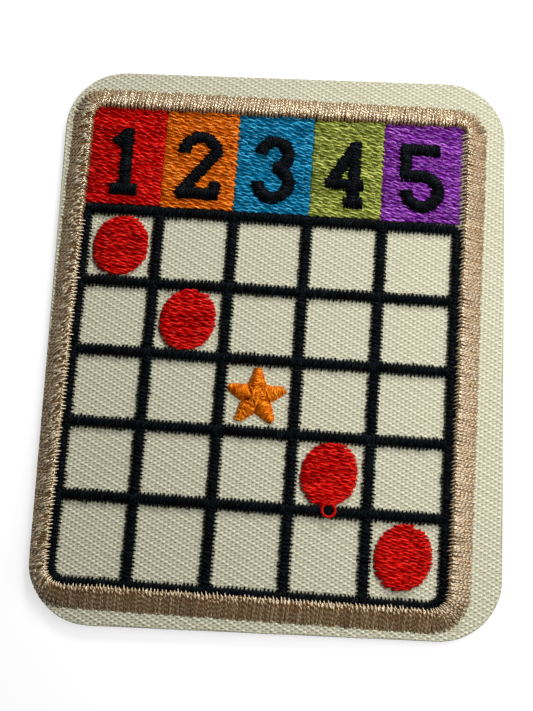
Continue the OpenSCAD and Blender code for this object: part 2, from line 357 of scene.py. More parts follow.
def thread_sizes(width, thickness, steps=6, sides=6, squareness=2.6, tremble=0.03, twist=0.0,
                 taper=0.0, outer_taper=None, groove=0.0, lean=1.0, roll=0.0):
    """The sizes of a length of thread. Its twist is in turns to the millimetre."""
    return {
        "Width": width * mm, "Thickness": thickness * mm, "Groove": groove,
        "Squareness": squareness, "Lean": lean, "Tremble": tremble * mm,
        "Sides": sides, "Steps": steps, "Plies": plies,
        "Twist": twist * math.tau / mm, "Roll": roll, "Inner Taper": taper,
        "Outer Taper": taper if outer_taper is None else outer_taper,
    }


def trimmed(stitches, keep=0.04, halvings=12):
    """Stitches cut off where they pass the edge of the sheet, at a spot found by halving."""
    points, arcs = stitches["points"].copy(), stitches["arcs"].copy()
    for near, far in ((0, -1), (-1, 0)):
        inner, outer = points[:, near].copy(), points[:, far].copy()
        low, high = np.zeros(len(points)), np.ones(len(points))
        cut = past_cut(on_sheet(outer)) > -keep
        for _ in range(halvings):
            middle = (low + high) / 2
            spot = inner + (outer - inner) * middle[:, None]
            outside = past_cut(on_sheet(spot)) > -keep
            low, high = np.where(outside, low, middle), np.where(outside, middle, high)
        share = np.where(cut, low, 1.0)
        points[:, far] = inner + (outer - inner) * share[:, None]
        arcs[:, far] = arcs[:, near] + (arcs[:, far] - arcs[:, near]) * share
    long_enough = np.linalg.norm(points[:, -1] - points[:, 0], axis=-1) > 3 * keep
    held = past_cut(on_sheet(points)).max(-1) < 0
    chosen = long_enough & held
    kept = {key: values[chosen] for key, values in stitches.items()}
    return {**kept, "points": points[chosen], "arcs": arcs[chosen]}


def straight(starts, ends, rise):
    """Stitches from one needle hole to another."""
    points = np.stack([starts, ends], 1).astype(float)
    count = len(points)
    return {"points": points, "rise": np.broadcast_to(rise, count).astype(float).copy(),
            "arcs": np.tile([0.0, 1.0], (count, 1))}


def yarn_finish(name):
    """Matt spun cotton, a little uneven and fuzzy, with painted light on the middle of each float
    and painted shade towards its ends.
    """
    f = Finish(name)
    tone, arc = f.marks("tone", "arc")
    cloud = f.noise(f.place, scale=240.0, detail=3.0)
    fuzz = f.noise(f.place, scale=9000.0, detail=3.0, roughness=0.7)
    # Painted light on the middle of each float and painted shade towards its ends.
    crest = 1 - (arc * 2 - 1).math("ABSOLUTE") ** 2.0
    share = f.smooth(crest * 0.5 + tone * 0.5 + cloud * 0.3 + fuzz * 0.35, low=0.45, high=1.4)
    return f.surface({
        "Base Color": f.blend(share, dyed(*cream_shade), dyed(*cream)), "Roughness": 0.85,
        "Specular IOR Level": 0.25, "Sheen Weight": 0.25,
        "Normal": f.bump(fuzz, distance=0.00003, strength=0.6),
    })


def weft_finish(name):
    """The picks between the floats: cotton ribs across the warp, darker than the floats and darker
    still where the warp dives, as painted shade.
    """
    f = Finish(name)
    turned = f.node("ShaderNodeMapping", (), {0: f.place, "Rotation": (0, 0, -stitch_turn)})
    x, y, _ = f.split(turned)
    ribs = (x * (math.tau / (pick * mm))).math("SINE")
    ends = (y * (math.tau / (end_pitch * mm))).math("SINE")
    fuzz = f.noise(turned, scale=7000.0, detail=3.0, roughness=0.7)
    # Painted shade: the rib pattern darkens the weft in its hollows, and also bumps it.
    height = ribs * 0.5 + ends * 0.35 + fuzz
    share = f.smooth(height, low=-0.6, high=1.4)
    return f.surface({
        "Base Color": f.blend(share, dyed(*weft_shade), dyed(*weft_cream)), "Roughness": 0.9,
        "Specular IOR Level": 0.2, "Normal": f.bump(height, distance=0.00005, strength=0.8),
    })


grid_space = 8.4
grid_size = 5 * grid_space
left_margin, right_margin, foot_margin = 0.35, 0.75, 0.5
header_l = 12.15
opening_w = left_margin + grid_size + right_margin
opening_l = header_l + grid_size + foot_margin
grid_left, grid_top = left_margin - opening_w / 2, opening_l / 2 - header_l
border_w = 2.4
column_shares = (0.1982, 0.3998, 0.599, 0.8014)
row_shares = (0.2016, 0.393, 0.587, 0.7806)
column_x = [grid_left + share * grid_size for share in (0, *column_shares, 1)]
row_y = [grid_top - share * grid_size for share in (0, *row_shares, 1)]
under_border_w, under_border_l = 0.9, 0.3
header_clear, right_clear = 0.35, 0.6
row_cover, column_cover = 0.6, 0.5
float_start, start_waver, drift_waver = 0.07, 0.02, 0.012
least_rise, rise_spread, next_crest_drop = 0.85, 0.3, 1.5
least_tone, tone_spread, next_crest_shade = 0.7, 0.3, 0.32


def floats():
    """Every float of the warp that no stitching covers, inside the border and outside it. Each
    shows as two crests, and the second lies lower and darker, with painted shade."""
    reach = float(sheet_half.length) + pick
    row_reach, start_reach = int(reach / end_pitch), int(reach / pick / repeat_picks)
    rows = np.arange(-row_reach, row_reach + 1)
    starts = np.arange(-start_reach - 1, start_reach + 2)
    row, start = (a.ravel() for a in np.meshgrid(rows, starts))
    left = (start * repeat_picks + np.mod(-row, repeat_picks)) * pick
    row, crest = np.repeat(row, 2), np.tile([0, 1], len(row))
    left = np.repeat(left, 2) + float_start + crest * crest_pitch
    left = left + rng.normal(0, start_waver, len(row))
    y = row * end_pitch
    z = np.full_like(y, cloth_z - yarn_sink, dtype=float)
    drift = rng.normal(0, drift_waver, len(y))
    a = np.stack([left, y + drift + slant, z], 1)
    b = np.stack([left + crest_l, y + drift - slant, z], 1)
    middle_x = (a[:, 0] + b[:, 0]) / 2
    half_w, half_l = opening_w / 2, opening_l / 2
    inside = (np.abs(middle_x) < half_w) & (np.abs(y) < half_l)
    past_side = np.abs(middle_x) > half_w + border_w - under_border_w
    past_end = np.abs(y) > half_l + border_w - under_border_l
    hidden = ~(inside | past_side | past_end)
    hidden |= inside & (y > grid_top + header_clear) & (middle_x < half_w - right_clear)
    for line in row_y:
        hidden |= inside & (np.abs(y - line) < row_cover)
    for line in column_x:
        hidden |= inside & (np.abs(middle_x - line) < column_cover)
    shown = ~hidden
    lift = least_rise + rise_spread * rng.random(len(y)) - next_crest_drop * crest
    rise = yarn_sink - yarn_t / 2 + float_rise * lift
    # The second crest is darkened as painted shade.
    tone = least_tone + tone_spread * rng.random(len(y)) - next_crest_shade * crest
    made = straight(a[shown], b[shown], rise[shown])
    made["tone"] = tone[shown]
    return made, inside[shown], a[shown, 1]


ground_mesh = sheet_mesh("twill_ground_cloth", cloth_low.z, cloth_z - weft_drop)
ground = piece("twill_ground_cloth", ground_mesh, weft_finish("cream_weft"), "cloth", "twill_ground")
cream_yarn = yarn_finish("cream_yarn")
yarn_sizes = thread_sizes(yarn_w, yarn_t, steps=4, sides=5, squareness=2.4, tremble=0.02)
weave, in_field, weave_y = floats()
for name, chosen in (("twill_floats_upper", in_field & (weave_y > row_y[2])),
                     ("twill_floats_lower", in_field & (weave_y <= row_y[2])),
                     ("twill_floats_margin", ~in_field)):
    part = trimmed({key: values[chosen] for key, values in weave.items()}, keep=0.1)
    stitched(name, [(part, yarn_sizes)], cream_yarn, "cloth")

# The stabiliser
# A white non-woven backing, pressed from short fibres. It lies under the twill, is held to it by
# the stitching, and is cut to the same outline.
backing_low, backing_high = (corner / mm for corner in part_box("stabiliser"))
fibre_white, fibre_shade = (238, 238, 234), (206, 205, 200)


def backing_finish(name):
    f = Finish(name)
    long_way = f.node("ShaderNodeMapping", (), {0: f.place, "Scale": (1.0, 5.0, 1.0)})
    cross_way = f.node("ShaderNodeMapping", (), {0: f.place, "Scale": (5.0, 1.0, 1.0)})
    long_fibres = f.noise(long_way, scale=900.0, detail=4.0, roughness=0.7)
    fibres = long_fibres + f.noise(cross_way, scale=900.0, detail=4.0, roughness=0.7)
    share = f.smooth(fibres, low=0.7, high=1.3)
    return f.surface({
        "Base Color": f.blend(share, dyed(*fibre_shade), dyed(*fibre_white)), "Roughness": 0.9,
        "Specular IOR Level": 0.25, "Normal": f.bump(fibres, distance=0.00004, strength=0.7),
    })


backing_mesh = sheet_mesh("stabiliser_sheet", backing_low.z, backing_high.z)
backing = piece("stabiliser_sheet", backing_mesh, backing_finish("pressed_fibre"), "backing",
                "stabiliser")

# The iron-on film
# A milky film of hot-melt glue over the whole back. It is pressed on warm, round the bobbin
# thread, and melts into the cloth below when the patch is ironed on.
film_low, film_high = (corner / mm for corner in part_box("heat_seal_film"))
film_gap, film_cover = 0.01, 0.42
film_milk, film_shade = (232, 232, 226), (205, 205, 198)


def film_finish(name):
    f = Finish(name)
    skin = f.noise(f.place, scale=700.0, detail=3.0, roughness=0.6)
    waves = f.noise(f.place, scale=120.0)
    return f.surface({
        "Base Color": f.blend(waves, dyed(*film_shade), dyed(*film_milk)),
        "Roughness": f.smooth(skin, low=0.1, high=1.2) * 0.3 + 0.16, "Alpha": film_cover,
        "Specular IOR Level": 0.6, "Normal": f.bump(skin, distance=0.00006, strength=0.6),
    })


film_mesh = sheet_mesh("heat_seal_film_skin", film_low.z, film_high.z - film_gap)
film = piece("heat_seal_film_skin", film_mesh, film_finish("hot_melt_film"), "film",
             "heat_seal_film")

# The satin border
# Tan rayon zigzags across a line of padding stitches and makes a high rounded rim. It holds the
# edge of the patch, and the knife has trimmed it on the lower left.
border_rise, border_pitch, border_spread = 1.0, 0.4, 0.15
border_head_r, border_foot_r = 1.0, 1.8
corner_points = 13
ring_steps = 400
stitch_sink = 0.1
pitch_waver, rise_waver, return_lift = 0.05, 0.03, 0.03


def thread_finish(name, colour, shade, glint, gloss=0.3, shine=0.55, painted_glint_share=0.6, index=1.5,
                  wind=0.0, relief=0.00002):
    """Two-ply rayon: fine filaments along each ply, with painted glints in the base colour, painted
    light on the crown of each ply and painted shade in the groove between plies.
    """
    f = Finish(name)
    along, turn, tone = f.marks("along", "turn", "tone")
    along_mm = along * (1 / mm)
    ply = ((turn * plies + (along_mm + tone * 10.0) * wind) * math.tau).math("COSINE")
    strand = f.node("ShaderNodeCombineXYZ", (), {0: turn * 14.0, 1: along_mm, 2: tone * 40.0})
    filaments = f.noise(strand, scale=1.0, roughness=0.6)
    cloud = f.noise(f.place, scale=350.0)
    # Painted light on the crown of each ply and painted shade in the groove between plies, mixed
    # with random tone.
    ply_painted_light = f.smooth(ply, low=-0.9, high=0.5)
    painted_light_and_tone = ply_painted_light * 0.5 + tone * 0.35 + cloud * 0.3 + filaments * 0.5
    body = f.blend(f.smooth(painted_light_and_tone, low=0.45, high=1.3), dyed(*shade), dyed(*colour))
    # Painted glints: spots of the base colour turned towards the glint colour.
    painted_glints = f.smooth(filaments + ply_painted_light * 0.2 + tone * 0.15, low=0.75, high=0.98)
    height = ply * 0.6 + filaments
    return f.surface({
        "Base Color": f.blend(painted_glints * painted_glint_share, body, dyed(*glint)),
        "Roughness": filaments * 0.2 + gloss, "Specular IOR Level": shine,
        "Specular Tint": dyed(*glint), "IOR": index,
        "Normal": f.bump(height, distance=relief, strength=0.7),
    })


def ring_path(w, l, head_r, foot_r, centre):
    """A rectangle with rounded corners, as points, ways out and distances along it."""
    points, outward = [], []
    corners = ((1, 1, head_r), (-1, 1, head_r), (-1, -1, foot_r), (1, -1, foot_r))
    for corner, (sx, sy, r) in enumerate(corners):
        for a in np.radians(np.linspace(0, 90, corner_points) + 90 * corner):
            way = np.array([math.cos(a), math.sin(a)])
            outward.append(way)
            points.append(np.array([sx * (w / 2 - r), sy * (l / 2 - r)]) + r * way + centre)
    return path(points + points[:1], outward + outward[:1])


def path(points, outward):
    """Points with the way out from each, and the distance along them."""
    points, outward = np.array(points), np.array(outward)
    steps = np.linalg.norm(np.diff(points, axis=0), axis=1)
    return {"points": points, "outward": outward, "at": np.r_[0, np.cumsum(steps)]}


def spots(way, at, side, width):
    """Points beside a path: at a distance along it, on one side or the other."""
    x, y, nx, ny = (np.interp(at, way["at"], column)
                    for column in (*way["points"].T, *way["outward"].T))
    size = np.hypot(nx, ny)
    return np.stack([x + side * width / 2 * nx / size, y + side * width / 2 * ny / size], 1)


def at_height(points, z):
    return np.concatenate([points, np.full((len(points), 1), z)], 1)


def satin(way, width, pitch, z, rise, waver=0.05, inner=0.0):
    """A satin column: the thread zigzags from one side of a path to the other."""
    total = way["at"][-1]
    count = max(2, round(total / (pitch / 2)))
    at = (np.arange(count + 1) / count) * total
    at = np.clip(at + rng.normal(0, pitch * pitch_waver, count + 1), 0, total)
    side = np.where(np.arange(count + 1) % 2, 1.0, -1.0)
    reach = width + rng.normal(0, waver, count + 1) + np.where(side < 0, 2 * inner, 0)
    holes = at_height(spots(way, at, side, reach), z - stitch_sink)
    lift = rise + stitch_sink + rng.normal(0, rise_waver, count) + return_lift * side[:-1]
    made = straight(holes[:-1], holes[1:], lift)
    made["arcs"][side[:-1] > 0] = (1.0, 0.0)
    return made


def beside(way, offset):
    """A path moved outwards."""
    return {**way, "points": way["points"] + offset * way["outward"]}


def core(way, z):
    """One thread laid along a path."""
    points = at_height(way["points"], z)[None]
    return {"points": points, "rise": np.zeros(1), "arcs": np.array([[0.5, 0.5]])}


tan = thread_finish("tan_rayon", colour=(146, 98, 32), shade=(86, 52, 16), glint=(255, 247, 220),
                    gloss=0.17, shine=1.0, painted_glint_share=0.4, index=2.0, wind=2.0, relief=0.00004)
# The padding's finish is a darker, duller copy of the tan rayon: painted shade under the satin
# strands.
tan_painted_shade = thread_finish("tan_rayon_painted_shade", colour=(120, 94, 62), shade=(84, 62, 38),
                          glint=(150, 124, 90), gloss=0.6, shine=0.2, painted_glint_share=0.0)
border_path = ring_path(opening_w + border_w, opening_l + border_w + border_spread,
                        border_head_r + border_w / 2, border_foot_r + border_w / 2,
                        centre=(0, border_spread / 2))
padding_w, padding_pitch, padding_rise = border_w * 0.55, 1.0, 0.4
padding_rows = trimmed(satin(border_path, padding_w, padding_pitch, cloth_z, padding_rise))
padding_layers = [(padding_rows, thread_sizes(width=0.3, thickness=0.25, steps=4))]
for aside, laid_w, laid_t in ((-0.6, 1.1, 1.25), (-0.05, 1.5, 0.6)):
    laid = core(beside(border_path, aside), cloth_z)
    laid_thread = thread_sizes(laid_w, laid_t, steps=ring_steps, sides=12, tremble=0.0)
    padding_layers.append((laid, laid_thread))
stitched("border_padding_stitches", padding_layers, tan_painted_shade, "tan_thread", "border_underlay")
rim_square, rim_lean = 1.95, 0.35
rim_inner, rim_over, rim_drop = 0.06, 0.05, 0.14
rim_thread = thread_sizes(width=0.38, thickness=0.18, steps=16, sides=8, squareness=rim_square,
                          lean=rim_lean, tremble=0.05, taper=0.22, outer_taper=0.1, roll=0.8)
border_stitches = satin(border_path, border_w + rim_over, border_pitch, cloth_z,
                        border_rise - rim_drop, waver=0.08, inner=rim_inner)
for name, first, nodes in (("border_satin_stitches", 0, ["border_satin"]),
                           ("border_return_stitches", 1, [])):
    part = trimmed({key: values[first::2] for key, values in border_stitches.items()})
    stitched(name, [(part, rim_thread)], tan, "tan_thread", *nodes)

# The edge strands
# Ends of border strands that reach past its inner edge, on top of the black frame, and furthest
# beside the last block of the header.
# A near-white copy of the tan rayon: painted highlight on these thread ends.
tan_painted_highlight = thread_finish("tan_filament_painted_highlight", colour=(252, 238, 204), shade=(222, 202, 164),
                         glint=(255, 248, 230), gloss=0.2, shine=1.0, index=1.8)
edge_pitch, edge_lean, edge_bow = 0.42, 0.12, 0.06
edge_foot, edge_hold, short_reach, long_reach = 0.5, 0.15, 0.26, 0.6
below_header, beside_block = 13, 11.5
edge_waver, reach_waver = 0.04, 0.07


def on_rim(at, offset):
    """Points on top of the border: at a distance along its path, and so far out from it."""
    reach = border_w + rim_inner
    share = np.clip((offset + border_w / 2 + rim_inner) / reach, 0, 1)
    arch = 1 - np.abs(2 * share ** rim_lean - 1) ** rim_square
    flat = spots(border_path, at, 1.0, 2 * offset)
    return np.concatenate([flat, (cloth_z + border_rise * arch)[:, None]], 1)


edge_start = border_path["at"][2 * corner_points - 1] + below_header
edge_end = border_path["at"][-1]
edge_at = np.arange(edge_start, edge_end, edge_pitch)
edge_at = edge_at + rng.normal(0, edge_waver, len(edge_at))
edge_reach = np.where(edge_at > edge_end - beside_block, long_reach, short_reach)
edge_in = -border_w / 2 - edge_reach + rng.normal(0, reach_waver, len(edge_at))
edge_low = at_height(spots(border_path, edge_at, 1.0, 2 * edge_in), cloth_z + edge_foot)
edge_out = np.full(len(edge_at), -border_w / 2 + edge_hold)
edge_high = on_rim(edge_at + edge_lean, edge_out)
edge_thread = thread_sizes(width=0.12, thickness=0.09, squareness=2.0, taper=0.6, outer_taper=0.3)
stitched("border_edge_strands", [(straight(edge_low, edge_high, edge_bow), edge_thread)],
         tan_painted_highlight, "tan_thread")

# Loose filaments
# Fine ends of the border thread that have worked out along its left side. They lie across it,
# and most of them near its inner edge.
filament_count = 480
inmost, filament_band, crowding = -1.12, 1.2, 1.4
shortest, longer = 0.3, 0.4
filament_slip, slip_waver, filament_bow = 0.25, 0.12, 0.14
half_corner = corner_points // 2
left_start = border_path["at"][corner_points + half_corner]
left_end = border_path["at"][2 * corner_points + half_corner + 1]
filament_at = left_start + (left_end - left_start) * rng.random(filament_count)
filament_in = inmost + filament_band * rng.random(filament_count) ** crowding
filament_l = shortest + longer * rng.random(filament_count)
filament_turn = filament_slip + rng.normal(0, slip_waver, filament_count)
filaments = straight(on_rim(filament_at, filament_in),
                     on_rim(filament_at + filament_turn, filament_in + filament_l), filament_bow)
filament_thread = thread_sizes(width=0.12, thickness=0.09, sides=5, tremble=0.12)
# Their near-white finish is painted highlight on the tan thread.
stitched("border_loose_filaments", [(trimmed(filaments, keep=0.15), filament_thread)],
         tan_painted_highlight, "tan_thread")

# The header
# Five blocks of fill stitching, in rows that run across the card. Each row is a chain of short
# stitches, and the rows of neighbouring blocks reach into each other.
header_gap, header_lift = 0.33, 0.65
header_foot, header_top = grid_top + header_lift, opening_l / 2
header_left, header_w = -opening_w / 2, opening_w - header_gap
block_shares = (0, 0.1997, 0.3961, 0.5992, 0.7888, 1)
block_x = [header_left + share * header_w for share in block_shares]
fill_t, row_pitch = 0.45, 0.4
fill_stitch, brick_step = 2.9, 0.37
fill_sink, fill_crown = stitch_sink * 0.3, 0.1
end_waver, hole_waver, height_waver, fill_waver = 0.04, 0.1, 0.06, 0.035
shortest_row, first_gap, last_gap, short_share = 0.4, 0.6, 0.5, 0.4
foot_reach, head_reach, block_tilt = 0.1, 0.2, 0.02
bed_inset, bed_sink, header_bed = 0.1, 0.1, 0.22
header_colours = (
    ("red", (234, 4, 6), (112, 0, 0), (255, 76, 56)),
    ("orange", (246, 122, 8), (150, 54, 0), (255, 190, 84)),
    ("blue", (0, 136, 182), (0, 62, 94), (104, 214, 250)),
    ("green", (168, 176, 76), (70, 80, 18), (240, 246, 150)),
    ("purple", (146, 42, 178), (58, 8, 82), (228, 160, 248)),
)


def fill(left, right, foot, top, z, rise, tilt=0.0, overlap=0.09, pitch=row_pitch):
    """Rows of fill stitching. Left and right give each row's ends from its height. Every other
    row reaches past them, and the rest stop short."""
    starts, ends, rises = [], [], []
    rows = round((top - foot) / pitch)
    for row in range(rows):
        y = foot + (row + 0.5) * (top - foot) / rows
        reach = overlap if row % 2 else -overlap * short_share
        low = left(y) - reach + rng.normal(0, end_waver)
        high = right(y) + reach + rng.normal(0, end_waver)
        if high - low < shortest_row:
            continue
        first = low + fill_stitch * ((row * brick_step) % 1.0)
        between = np.arange(first, high - last_gap, fill_stitch)
        between = between[between - low > first_gap]
        between = between + rng.normal(0, hole_waver, len(between))
        across = np.array([low, *between, high])
        up = y + tilt * (across - (low + high) / 2) + rng.normal(0, height_waver, len(across))
        holes = at_height(np.stack([across, up], 1), z - fill_sink)
        starts.extend(holes[:-1])
        ends.extend(holes[1:])
        rises.extend(rise + fill_sink + rng.normal(0, fill_waver, len(holes) - 1))
    return straight(np.array(starts), np.array(ends), np.array(rises))


def filled(name, rows, outline, bed_rise, material, slot, node):
    """Puts rows of fill stitching on the patch, over their flattened first layer."""
    loops = [on_sheet([(*point, z) for point in outline]).tolist()
             for z in (cloth_z - bed_sink, cloth_z + bed_rise)]
    bed = loop_mesh(name, loops)
    mesh = joined(name, bed, sewn(name, [(rows, fill_thread)], material))
    piece(name, mesh, material, slot, node)


fill_thread = thread_sizes(width=0.41, thickness=0.36, steps=24, sides=10, squareness=4.0,
                           tremble=0.07, twist=0.5, groove=0.35)
threads = {}
for (colour, body, shade, glint), x0, x1 in zip(header_colours, block_x, block_x[1:]):
    threads[colour] = thread_finish(f"{colour}_rayon", body, shade, glint, gloss=0.22, shine=0.6,
                                    painted_glint_share=0.65, index=1.55)
    rows = fill(lambda y: x0, lambda y: x1, header_foot - foot_reach, header_top + head_reach,
                cloth_z, fill_t - fill_crown, tilt=block_tilt)
    bed_x0, bed_x1, bed_top = x0 + bed_inset, x1 - bed_inset, header_top - bed_inset
    outline = [(bed_x0, header_foot), (bed_x1, header_foot), (bed_x1, bed_top), (bed_x0, bed_top)]
    filled(f"header_rows_{colour}", rows, outline, header_bed, threads[colour],
           f"{colour}_thread", f"header_fill_{colour}")

# The numerals
# Figures from one to five in black satin, which stands on the fill. Each stroke is a satin
# column, and strokes overlap where they meet.
black = thread_finish("black_rayon", colour=(10, 12, 15), shade=(3, 3, 5), glint=(66, 78, 86),
                      gloss=0.36, shine=0.32, painted_glint_share=0.36)
fill_z = cloth_z + fill_t
numeral_h, numeral_w, numeral_drop = 8.2, 5.2, 0.6
stroke_w, stroke_rise, stroke_step = 1.4, 0.4, 0.03
stroke_core_t, core_drop = 0.34, 0.08
pen_w, pen_l = numeral_w - stroke_w, numeral_h - stroke_w
numeral_y = (header_foot + header_top) / 2 - numeral_drop
line_pitch, straight_share, bowl_share = 0.43, 0.75, 0.5
tooth, satin_crown = 0.32, 0.12
twist_turns = 0.62
figure_thread = thread_sizes(width=0.36, thickness=0.22, steps=9, sides=5, tremble=0.02,
                             twist=twist_turns, taper=0.4)


def line_path(start, end):
    """A straight stroke."""
    start, end = np.array(start, float), np.array(end, float)
    way = (end - start) / np.linalg.norm(end - start)
    out = np.array([way[1], -way[0]])
    return path([start, end], [out, out])


def bowl(centre, r, start, sweep):
    """A curved stroke about a centre."""
    angles = np.radians(start + np.linspace(0, sweep, 25))
    ways = np.stack([np.cos(angles), np.sin(angles)], 1)
    return path(np.array(centre) + r * ways, ways)


def numeral_strokes():
    """The paths of each figure, from the lower left corner of its pen box, and its width."""
    past = stroke_w / 2 * 0.7
    one_w = pen_w * 0.7
    two_r = pen_w / 2
    three_low = pen_l / 2 * 0.53
    three_high = pen_l / 2 - three_low
    stem, bar = pen_w * 0.72, pen_l * 0.32
    foot = pen_w * 0.28
    five_r = pen_l * 0.27
    return (
        ("one", one_w, [
            line_path((one_w / 2, 0), (one_w / 2, pen_l + past)),
            line_path((0, pen_l * 0.8), (one_w / 2, pen_l)),
            line_path((-past * 0.4, 0), (one_w + past * 0.4, 0)),
        ]),
        ("two", pen_w, [
            bowl((two_r, pen_l - two_r), two_r, -8, 190),
            line_path((-past * 0.5, -past * 0.5), (pen_w, pen_l - two_r + past * 0.3)),
            line_path((pen_w, 0), (pen_w, pen_l * 0.2)),
            line_path((-past, 0), (pen_w + past, 0)),
        ]),
        ("three", pen_w, [
            bowl((pen_w / 2, 2 * three_low + three_high), three_high, -90, 270),
            bowl((pen_w / 2, three_low), three_low, -180, 270),
        ]),
        ("four", pen_w, [
            line_path((0, bar), (stem, pen_l)),
            line_path((-past, bar), (pen_w, bar)),
            line_path((stem, 0), (stem, pen_l + past)),
            line_path((stem - foot, 0), (stem + foot, 0)),
        ]),
        ("five", pen_w, [
            bowl((pen_w - five_r, five_r), five_r, -180, 270),
            line_path((-past, 2 * five_r), (pen_w - five_r, 2 * five_r)),
            line_path((0, 2 * five_r), (0, pen_l)),
            line_path((-past, pen_l), (pen_w, pen_l)),
        ]),
    )


def moved(way, shift):
    return {**way, "points": way["points"] + np.array(shift)}


for (figure, width, strokes), x0, x1 in zip(numeral_strokes(), block_x, block_x[1:]):
    corner = ((x0 + x1) / 2 - width / 2, numeral_y - pen_l / 2)
    layers = []
    for level, stroke in enumerate(strokes):
        way = moved(stroke, corner)
        rise = stroke_rise - satin_crown + stroke_step * level
        pitch = line_pitch * (straight_share if len(way["points"]) == 2 else bowl_share)
        strands = satin(way, stroke_w + tooth / 4, pitch, fill_z, rise, waver=0.03)
        layers.append((strands, figure_thread))
        core_thread = thread_sizes(stroke_w, stroke_core_t, steps=30, tremble=0.0)
        layers.append((core(way, fill_z - core_drop), core_thread))
    stitched(f"numeral_stitches_{figure}", layers, black, "black_thread", f"numeral_{figure}")

# The grid
# Satin lines in black. The uprights are sewn first, the cross lines run over them, and the frame
# goes round them last.
line_w, column_rise, row_rise = 1.3, 0.5, 0.62
line_core_t, core_inset, core_lift = 0.4, 0.36, 0.03
frame_head_r, frame_foot_r = 0.4, 1.45
frame_slip = Vector((0.25, -0.2))
grid_centre = np.array([grid_left + grid_size / 2, grid_top - grid_size / 2])
line_thread = thread_sizes(width=0.36, thickness=0.22, steps=9, sides=5, twist=twist_turns,
                           taper=0.8)


def grid_line(name, way, rise, node, steps=4):
    """A satin line with ragged sides, over a flat thread that closes it."""
    strands = satin(way, line_w + tooth, line_pitch, cloth_z, rise - satin_crown, waver=0.11)
    core_thread = thread_sizes(line_w - core_inset, line_core_t, steps=steps, tremble=0.0)
    layers = [(strands, line_thread), (core(way, cloth_z + core_lift), core_thread)]
    stitched(name, layers, black, "black_thread", node)


grid_paths = []
for number, (x, y) in enumerate(zip(column_x[1:-1], row_y[1:-1]), 1):
    upright = line_path((x, row_y[0]), (x, row_y[-1]))
    crossing = line_path((column_x[0], y), (column_x[-1], y))
    grid_line(f"grid_column_stitches_{number}", upright, column_rise, f"grid_column_{number}")
    grid_line(f"grid_row_stitches_{number}", crossing, row_rise, f"grid_row_{number}")
    grid_paths += [upright, crossing]
frame_path = ring_path(grid_size + frame_slip.x, grid_size - frame_slip.y, frame_head_r,
                       frame_foot_r, centre=grid_centre + np.array(frame_slip) / 2)
grid_line("grid_frame_stitches", frame_path, row_rise, "grid_frame", steps=ring_steps)

# The round markers
# Four red ovals of fill stitching on the diagonal. Their rows climb a little to the right, and
# their tops reach the line above.
marker_w, marker_l, marker_rise = 6.1, 7.0, 0.5
marker_pitch, marker_tilt, marker_overlap = 0.36, 0.1, 0.03
oval_square = 2.2
bed_share, marker_bed = 0.49, 0.2
marker_shares = ((0.099, 0.1015), (0.297, 0.2965), (0.698, 0.6845), (0.899, 0.8845))


def grid_point(share):
    """A spot on the grid, from its shares across and down."""
    return grid_left + share[0] * grid_size, grid_top - share[1] * grid_size


def oval(x, y, side):
    """Where an oval's edge lies at a height, on one side."""
    def edge(height):
        share = min(1.0, abs(height - y) / (marker_l / 2))
        return x + side * marker_w / 2 * math.sqrt(max(0.0, 1 - share ** oval_square))
    return edge


for number, share in enumerate(marker_shares, 1):
    x, y = grid_point(share)
    rows = fill(oval(x, y, -1), oval(x, y, 1), y - marker_l / 2, y + marker_l / 2, cloth_z,
                marker_rise - fill_crown, marker_tilt, marker_overlap, marker_pitch)
    outline = [(x + bed_share * marker_w * math.cos(a), y + bed_share * marker_l * math.sin(a))
               for a in np.radians(np.arange(0, 360, 10))]
    filled(f"marker_rows_{number}", rows, outline, marker_bed, threads["red"], "red_thread",
           f"marker_dot_{number}")

# The star
# Five arms of orange satin, each a kite from the middle of the star to its point. The strands
# cross each arm and rise to a ridge along it, and a few more cross the middle.
star_x, star_y = grid_point((0.495, 0.4935))
star_r, star_notch_r, star_rise = 3.4, 1.7, 0.7
star_blunt, star_swing = 0.26, 0.06
ridge_fall, heart_lift = 0.45, 0.05
heart_shares, point_shares = np.linspace(0.15, 0.95, 7), np.linspace(0.03, 0.9, 17)


def pointing(angle):
    return np.array([math.cos(angle), math.sin(angle)])


def star_arm(index):
    """Strands across one arm, from near the middle to the point."""
    way = math.radians(90 + 72 * index)
    tip = pointing(way) * star_r
    notches = [pointing(way + side * math.radians(36)) * star_notch_r for side in (-1, 1)]
    aside = np.array([math.sin(way), -math.cos(way)]) * star_blunt
    starts, ends, rises = [], [], []
    for share in heart_shares:
        starts.append(notches[0] * share)
        ends.append(notches[1] * share)
        rises.append(star_rise - satin_crown + heart_lift * (1 - share))
    for share in point_shares:
        starts.append(notches[0] * (1 - share) + (tip + aside) * share)
        ends.append(notches[1] * (1 - share) + (tip - aside) * share)
        rises.append((star_rise - satin_crown) * (1 - ridge_fall * share))
    swing = star_swing * pointing(way)
    starts = np.array(starts) + swing + (star_x, star_y)
    ends = np.array(ends) - swing + (star_x, star_y)
    z = cloth_z - stitch_sink
    return straight(at_height(starts, z), at_height(ends, z),
                    np.array(rises) + rng.normal(0, rise_waver, len(rises)))


